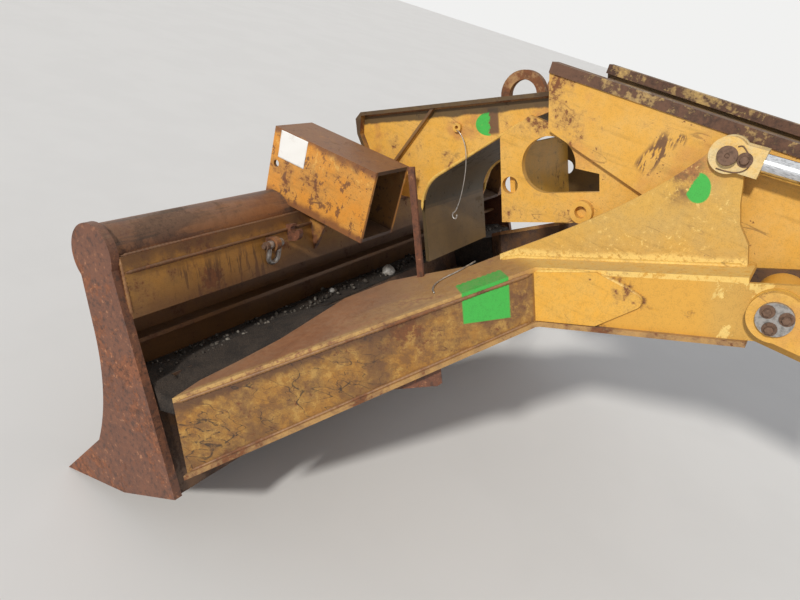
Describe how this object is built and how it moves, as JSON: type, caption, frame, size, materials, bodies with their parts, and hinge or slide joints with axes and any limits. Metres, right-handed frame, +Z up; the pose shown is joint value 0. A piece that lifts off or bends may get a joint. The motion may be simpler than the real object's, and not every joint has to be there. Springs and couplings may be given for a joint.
{
  "type": "skidder stacking blade with push arms and front frame nose",
  "caption": "Lowered stacking blade of a forestry skidder on splayed box arms, pinned to the front frame nose and held by two lift cylinders",
  "frame": {"origin": "middle of the nose's flat rear face, where it joins the machine's frame, level with the arm pivots", "axes": "+X forward to the blade, +Y to the machine's left, +Z up"},
  "size_m": [2.1456, 2.38, 1.5757],
  "materials": {
    "nose_paint": "orange-yellow paint, pitted",
    "worn_paint": "orange-yellow paint worn through to rust",
    "ear_paint": "bright yellow paint",
    "rusty_steel": "brown rust",
    "rail_paint": "dark worn paint",
    "cylinder_paint": "yellow paint",
    "chrome_rod": "ground and plated",
    "bare_steel": "worn bare steel"
  },
  "bodies": {
    "nose": {"frame_sides": "nose_paint", "top_rails": "rail_paint", "inner_plates": "nose_paint", "side_eyes": "nose_paint", "nose_plates": "nose_paint", "nose_cover": "nose_paint", "nose_pan": "nose_paint", "nose_bulkhead": "nose_paint", "tie_rings": "nose_paint", "pad_eye": "nose_paint", "pivot_tube": "nose_paint", "pivot_pins": "bare_steel", "pivot_brackets": "nose_paint", "cylinder_anchors": "nose_paint", "rear_plate": "nose_paint"},
    "blade": {"mouldboard": "worn_paint", "cutting_edge": "rusty_steel", "top_tube": "rusty_steel", "end_plate_left": "rusty_steel", "end_plate_right": "rusty_steel", "back_beam": "worn_paint", "middle_rib": "worn_paint", "lower_box": "worn_paint", "push_box_left": "worn_paint", "push_box_right": "worn_paint", "box_gussets": "rusty_steel", "shackle_lug": "rusty_steel", "hook_lug": "rusty_steel", "arm_outer_left": "worn_paint", "arm_outer_right": "worn_paint", "arm_inner_left": "worn_paint", "arm_inner_right": "worn_paint", "arm_top_left": "worn_paint", "arm_top_right": "worn_paint", "arm_bottom_left": "worn_paint", "arm_bottom_right": "worn_paint", "arm_root_left": "worn_paint", "arm_root_right": "worn_paint", "tongues": "ear_paint", "ear_left": "ear_paint", "ear_right": "ear_paint", "pivot_bosses": "ear_paint", "marker_post": "rusty_steel"},
    "cylinder_left": {"barrel_left": "cylinder_paint"},
    "cylinder_right": {"barrel_right": "cylinder_paint"},
    "rod_left": {"rod_left": "chrome_rod", "fork_left": "cylinder_paint"},
    "rod_right": {"rod_right": "chrome_rod", "fork_right": "cylinder_paint"},
    "shackle": {"shackle_bow": "bare_steel", "shackle_pin": "bare_steel"}
  },
  "joints": [
    {"name": "blade_lift", "type": "hinge", "parent": "nose", "child": "blade", "pos_m": [0.55, 0, 0], "axis": [0, -1, 0], "range_deg": [-5, 30]},
    {"name": "cylinder_swing_left", "type": "hinge", "parent": "nose", "child": "cylinder_left", "pos_m": [0.10842, 0.345, 0.31337], "axis": [0, -1, 0], "range_deg": [-2, 10]},
    {"name": "rod_slide_left", "type": "slide", "parent": "cylinder_left", "child": "rod_left", "axis": [0.9986, 0, -0.0523], "range_m": [-0.172, 0.03]},
    {"name": "cylinder_swing_right", "type": "hinge", "parent": "nose", "child": "cylinder_right", "pos_m": [0.10842, -0.345, 0.31337], "axis": [0, -1, 0], "range_deg": [-2, 10]},
    {"name": "rod_slide_right", "type": "slide", "parent": "cylinder_right", "child": "rod_right", "axis": [0.9986, 0, -0.0523], "range_m": [-0.172, 0.03]},
    {"name": "shackle_swing", "type": "hinge", "parent": "blade", "child": "shackle", "pos_m": [1.90529, 0.642, -0.40512], "axis": [0, 1, 0], "range_deg": [0, 100]}
  ],
  "couplings": [
    {"joint": "cylinder_swing_left", "follows": "blade_lift", "ratio": 0.31},
    {"joint": "cylinder_swing_right", "follows": "blade_lift", "ratio": 0.31},
    {"joint": "rod_slide_left", "follows": "blade_lift", "m_per_rad": -0.321},
    {"joint": "rod_slide_right", "follows": "blade_lift", "m_per_rad": -0.321}
  ]
}
